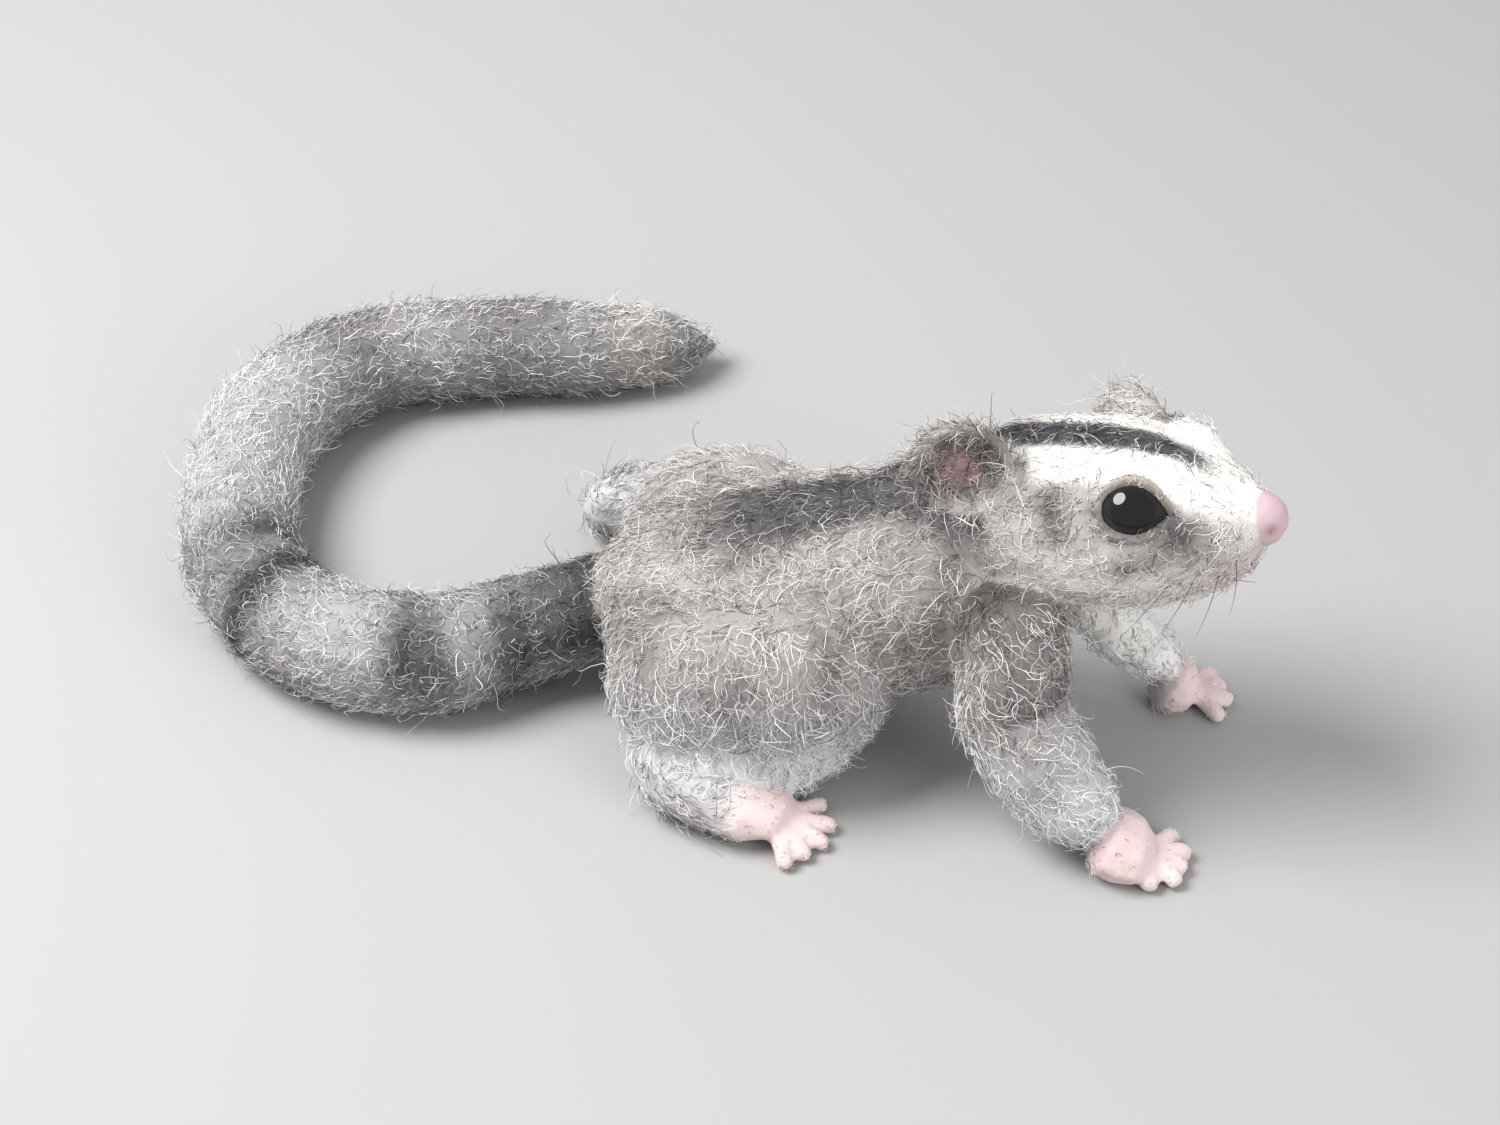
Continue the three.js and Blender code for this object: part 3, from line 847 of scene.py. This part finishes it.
def unwrap(root, part):
    """Each root's place on the skin, unwrapped part by part round its own long axis."""
    uv = np.zeros((len(root), 2))
    rows = math.ceil(len(FLESH) / BAKE_COLUMNS)
    for i, name in enumerate(FLESH):
        chosen = part == i
        if not chosen.any():
            continue
        low, high = np.array(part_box(name))
        centre = (low + high) / 2
        axis = int(np.argmax(high - low))
        first, second = [a for a in range(3) if a != axis]
        rel = root[chosen] - centre
        angle = np.arctan2(rel[:, second], rel[:, first]) / (2 * math.pi) + 0.5
        reach = np.clip((root[chosen, axis] - low[axis]) / (high[axis] - low[axis]), 0, 1)
        cell = np.array([i % BAKE_COLUMNS, i // BAKE_COLUMNS])
        inside = BAKE_MARGIN + (1 - 2 * BAKE_MARGIN) * np.stack([angle, reach], 1)
        uv[chosen] = (cell + inside) / np.array([BAKE_COLUMNS, rows])
    return uv


PATCH = 0.003  # breadth of a fibre's patch on the bake map


def add_bake_map(mesh, root, part, per_fibre, faces):
    uv = unwrap(root, part)
    layer = mesh.uv_layers.new(name="OFBake")
    vertex = faces.ravel()
    fibre = vertex // per_fibre
    within = vertex % per_fibre
    rings = per_fibre // 3
    offset = np.stack([(within % 3) / 2, (within // 3) / (rings - 1)], 1) - 0.5
    layer.data.foreach_set("uv", (uv[fibre] + offset * PATCH).astype(np.float32).ravel())


# The coat's pieces: how many, fibres in each, lengths of each fibre, its curl, and its longer reach
COAT_LAYERS = [
    {"pieces": 5, "fibres": 7000, "steps": 4, "curl": 2.2, "reach": 1.0},
    {"pieces": 3, "fibres": 3700, "steps": 8, "curl": 4.2, "reach": 1.35},
]


PALEST = 0.86
SHADE_SPREAD = 0.62  # how much the fibres' brightness varies
FIBRE_WIDTHS = (0.06 * MM, 0.115 * MM)
FLOOR_CLEARANCE = 0.06 * MM


def fibre_shades(root, part, rng):
    """Heathered wool: each fibre takes the marking near its root, and some are pale or dark."""
    on_face = np.array([name.startswith(("head", "ear", "nose")) for name in FLESH])[part]
    stray = np.where(on_face, 0.15, 0.8)[:, None] * MM
    shade = markings(root + rng.normal(size=root.shape) * stray, part)
    light = shade.mean(1)
    shade = shade * np.exp(rng.normal(0.0, SHADE_SPREAD, len(root)))[:, None]
    pick = rng.random(len(root))
    pale = pick < 0.03 + 0.5 * light
    shade[pale] = 0.25 * shade[pale] + 0.75 * SHADES["white"]
    dark = pick > 0.97 - 0.19 * (light < 0.5)
    shade[dark] = shade[dark] * 0.45
    return np.clip(shade, 0, PALEST)


def make_coat(points, faces, normal, part):
    material = wool_material("wool_fibres", 0, 0)
    number = 0
    for layer in COAT_LAYERS:
        steps = layer["steps"]
        per_fibre = (steps + 1) * 3
        for _ in range(layer["pieces"]):
            number += 1
            rng = np.random.default_rng(100 + number)
            root, out, root_part = sample_roots(points, faces, normal, part, layer["fibres"], rng)
            lines = fibre_lines(root, out, root_part, rng, steps, layer["curl"], layer["reach"])
            lines[..., 2] = np.maximum(lines[..., 2], FLOOR_CLEARANCE)
            width = rng.uniform(*FIBRE_WIDTHS, len(root))
            fibre_points, fibre_faces = fibre_mesh(lines, width)
            name = f"wool_coat_{number}"
            mesh = new_mesh(name, fibre_points, fibre_faces)
            add_bake_map(mesh, root, root_part, per_fibre, fibre_faces)
            paint(mesh, np.repeat(fibre_shades(root, root_part, rng), per_fibre, axis=0))
            mesh.materials.append(material)
            coat = link(name, mesh)
            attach(coat, "root")


# Whiskers: dark threads from the muzzle, by three points each on the head in millimetres
WHISKERS = [
    ((30.0, 5.5, -2.2), (28.5, 8.4, -5.5), (25.5, 9.4, -9.0)),
    ((28.5, 6.6, -1.8), (26.0, 9.8, -4.8), (22.0, 11.4, -8.2)),
    ((31.6, 4.2, -2.6), (31.2, 6.8, -6.0), (29.0, 7.6, -9.6)),
    ((32.8, 3.2, -2.0), (33.6, 5.2, -4.6), (32.2, 5.8, -8.0)),
]


WHISKER_WIDTH = 0.09 * MM
WHISKER_STEPS = 12


def make_whiskers():
    lines = []
    for side in (-1, 1):
        for a, b, c in WHISKERS:
            a, b, c = (np.array([p[0], side * p[1], p[2]]) * MM for p in (a, b, c))
            t = np.linspace(0, 1, WHISKER_STEPS)[:, None]
            local = (1 - t) ** 2 * a + 2 * t * (1 - t) * b + t**2 * c
            lines.append(local @ HEAD_MATRIX[:3, :3].T + HEAD_MATRIX[:3, 3])
    lines = np.array(lines)
    points, faces = fibre_mesh(lines, np.full(len(lines), WHISKER_WIDTH))
    obj = link("whiskers", new_mesh("whiskers", points, faces))
    obj.data.materials.append(plain_material("thread", (0.02, 0.015, 0.015), 0.6))
    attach(obj, "root")


def glass_colour(points, side):
    """A black pupil, a very dark brown iris round it and a black rim."""
    facing = (points / EYE_RADIUS) @ (HEAD_MATRIX[:3, :3] @ GAZE[side])
    colour = np.tile(np.array([0.004, 0.0035, 0.0035]), (len(points), 1))
    iris = fade(facing, 0.45, 0.6) * (1 - fade(facing, 0.8, 0.86))
    return blend(colour, np.array([0.011, 0.009, 0.009]), iris)


GLASS_ROUGHNESS = 0.05
GLASS_SPECULAR = 0.4


def make_eyes():
    material = wool_material("glass_eye", 0, 0)
    shader = material.node_tree.nodes["Principled BSDF"]
    shader.inputs["Roughness"].default_value = GLASS_ROUGHNESS
    shader.inputs["Specular IOR Level"].default_value = GLASS_SPECULAR
    for side, centre in EYE_PLACE.items():
        bpy.ops.mesh.primitive_uv_sphere_add(segments=64, ring_count=40, radius=EYE_RADIUS)
        eye = bpy.context.object
        eye.name = f"glass_eye_{side}"
        bpy.ops.object.shade_smooth()
        points = np.array([v.co for v in eye.data.vertices])
        paint(eye.data, glass_colour(points, side))
        eye.location = Vector(HEAD_MATRIX[:3, :3] @ centre + HEAD_MATRIX[:3, 3])
        eye.data.materials.append(material)
        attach(eye, "root")
        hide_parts(f"eye_{side}")


# Floor, light and camera
FLOOR_SIZE = 4
FLOOR_COLOUR = (0.34, 0.335, 0.325)
SKY_COLOUR = (0.9, 0.93, 1.0, 1)
SKY_STRENGTH = 0.75
# Name, place, power in watts and breadth; only the key light is mirrored in the eyes
LIGHTS = [
    ("key", (-0.27, -0.02, 0.42), 4.1, 0.3),
    ("fill", (0.34, -0.36, 0.2), 1.5, 0.3),
]


def make_stage():
    bpy.context.scene.view_settings.view_transform = "Standard"
    bpy.ops.mesh.primitive_plane_add(size=FLOOR_SIZE)
    floor = bpy.context.object
    floor.name = "floor"
    floor.data.materials.append(plain_material("pale_floor", FLOOR_COLOUR, 0.9))
    floor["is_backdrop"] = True
    for name, spot, energy, size in LIGHTS:
        light = bpy.data.lights.new(name, "AREA")
        light.shape = "DISK"
        light.energy = energy
        light.size = size
        lamp = bpy.data.objects.new(name, light)
        bpy.context.scene.collection.objects.link(lamp)
        lamp.location = spot
        lamp.visible_glossy = name == "key"
        lamp.rotation_euler = (-Vector(spot)).to_track_quat("-Z", "Y").to_euler()
    world = bpy.data.worlds.new("studio")
    bpy.context.scene.world = world
    world.use_nodes = True
    world.node_tree.nodes["Background"].inputs["Color"].default_value = SKY_COLOUR
    world.node_tree.nodes["Background"].inputs["Strength"].default_value = SKY_STRENGTH


CAMERA_DISTANCE = 0.4073
CAMERA_ELEVATION = 40
CAMERA_LENS = 85
SENSOR_WIDTH = 36


def make_camera():
    data = bpy.data.cameras.new("camera")
    data.lens = CAMERA_LENS
    data.sensor_width = SENSOR_WIDTH
    data.clip_start = 0.01
    camera = bpy.data.objects.new("camera", data)
    bpy.context.scene.collection.objects.link(camera)
    tilt = math.radians(CAMERA_ELEVATION)
    target = Vector(OFFSET)
    back = Vector((0, -math.cos(tilt), math.sin(tilt)))
    camera.location = target + back * CAMERA_DISTANCE
    camera.rotation_euler = (math.radians(90 - CAMERA_ELEVATION), 0, 0)
    bpy.context.scene.camera = camera


trees = part_trees()
skin, skin_part = make_skin(trees)
skin_points, skin_faces, skin_normals = finish_skin(skin, skin_part)
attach(skin, "root")
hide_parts(*FLESH)
make_eyes()
make_coat(skin_points, skin_faces, skin_normals, skin_part)
make_whiskers()
make_stage()
make_camera()
[[list(corner) for corner in box] for box in (cad_box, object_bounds())]
